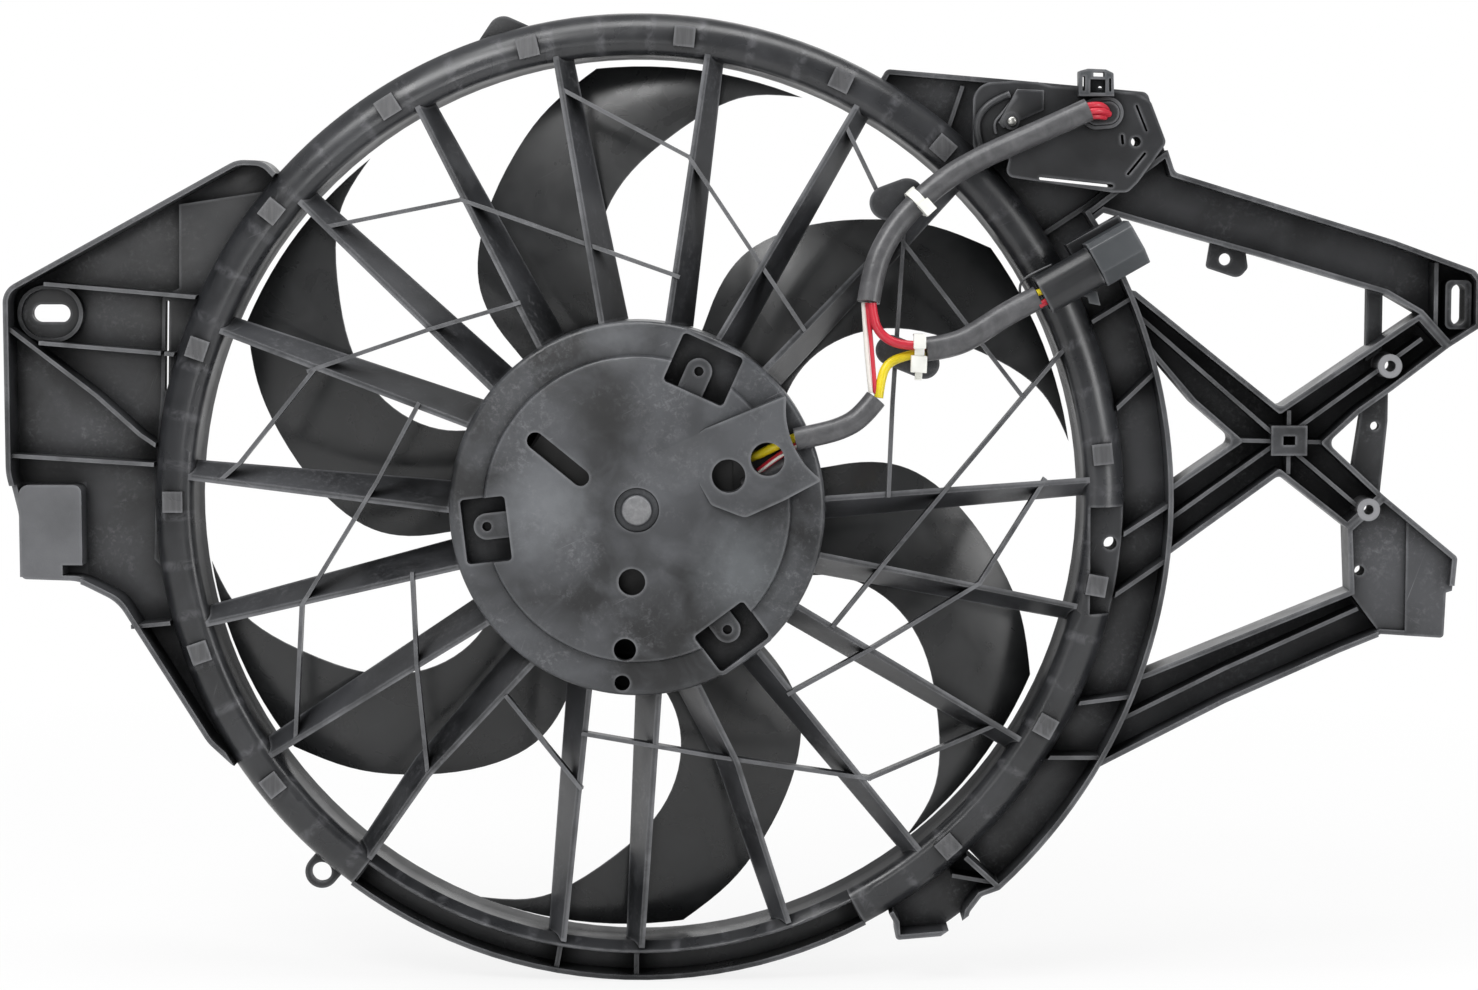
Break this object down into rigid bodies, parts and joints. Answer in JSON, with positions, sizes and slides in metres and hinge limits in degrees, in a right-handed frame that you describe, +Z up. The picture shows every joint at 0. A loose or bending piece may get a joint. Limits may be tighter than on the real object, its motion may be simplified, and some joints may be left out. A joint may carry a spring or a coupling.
{
  "type": "radiator cooling fan",
  "caption": "Electric radiator cooling fan: ring shroud with sloping vanes, side brackets, motor, wiring and a swept-blade fan.",
  "frame": {"origin": "on the fan axis, in the plane of the ring's radiator side", "axes": "+X to the right and +Z up for a viewer on the engine side, +Y from the viewer toward the radiator"},
  "size_m": [0.7375, 0.0789, 0.488],
  "materials": {
    "shroud_plastic": "moulded black glass-filled polypropylene, low sheen",
    "fan_plastic": "moulded black glass-filled nylon, slightly glossy",
    "module_plastic": "moulded black nylon",
    "grey_plastic": "moulded grey nylon",
    "white_nylon": "natural white nylon",
    "loom_tape": "black cloth loom tape",
    "red_insulation": "red wire insulation",
    "yellow_insulation": "yellow wire insulation",
    "white_insulation": "white wire insulation",
    "motor_steel": "black-coated deep-drawn steel",
    "zinc_steel": "zinc-plated and bare steel",
    "ferrite": "ground ferrite",
    "carbon": "pressed carbon",
    "brown_resin": "moulded phenolic resin",
    "lamination_steel": "stacked steel laminations",
    "enamelled_copper": "enamelled copper wire",
    "copper": "bare copper segments"
  },
  "bodies": {
    "shroud": {"brush_holder": "brown_resin", "cable_tie_lower": "white_nylon", "cable_tie_upper": "white_nylon", "connector_body": "module_plastic", "connector_clip": "module_plastic", "connector_shell": "grey_plastic", "connector_sleeve": "loom_tape", "front_bearing": "zinc_steel", "guard_ribs": "shroud_plastic", "left_bracket": "shroud_plastic", "module_base": "module_plastic", "module_connector": "module_plastic", "module_cover": "module_plastic", "module_lock_clip": "grey_plastic", "module_tray": "shroud_plastic", "motor_brushes": "carbon", "motor_end_cap": "motor_steel", "motor_housing": "motor_steel", "motor_magnets": "ferrite", "motor_mount": "shroud_plastic", "motor_screws": "zinc_steel", "motor_sleeve": "loom_tape", "rear_bearing": "zinc_steel", "red_wire": "red_insulation", "right_cross_brace": "shroud_plastic", "right_lower_bracket": "shroud_plastic", "right_top_beam": "shroud_plastic", "ring_flange": "shroud_plastic", "shroud_ring": "shroud_plastic", "signal_wire": "white_insulation", "stator_vane_01": "shroud_plastic", "stator_vane_02": "shroud_plastic", "stator_vane_03": "shroud_plastic", "stator_vane_04": "shroud_plastic", "stator_vane_05": "shroud_plastic", "stator_vane_06": "shroud_plastic", "stator_vane_07": "shroud_plastic", "stator_vane_08": "shroud_plastic", "stator_vane_09": "shroud_plastic", "stator_vane_10": "shroud_plastic", "stator_vane_11": "shroud_plastic", "stator_vane_12": "shroud_plastic", "stator_vane_13": "shroud_plastic", "stator_vane_14": "shroud_plastic", "stator_vane_15": "shroud_plastic", "stator_vane_16": "shroud_plastic", "stator_vane_17": "shroud_plastic", "stator_vane_18": "shroud_plastic", "upper_loom": "loom_tape", "yellow_wire": "yellow_insulation"},
    "fan": {"fan_hub": "fan_plastic", "fan_blades": "fan_plastic", "fan_hub_insert": "zinc_steel", "fan_nut": "zinc_steel", "motor_shaft": "zinc_steel", "armature_core": "lamination_steel", "armature_windings": "enamelled_copper", "commutator": "copper"}
  },
  "joints": [
    {"name": "fan_spin", "type": "hinge", "parent": "shroud", "child": "fan", "pos_m": [0, 0, 0], "axis": [0, -1, 0], "continuous": true}
  ]
}
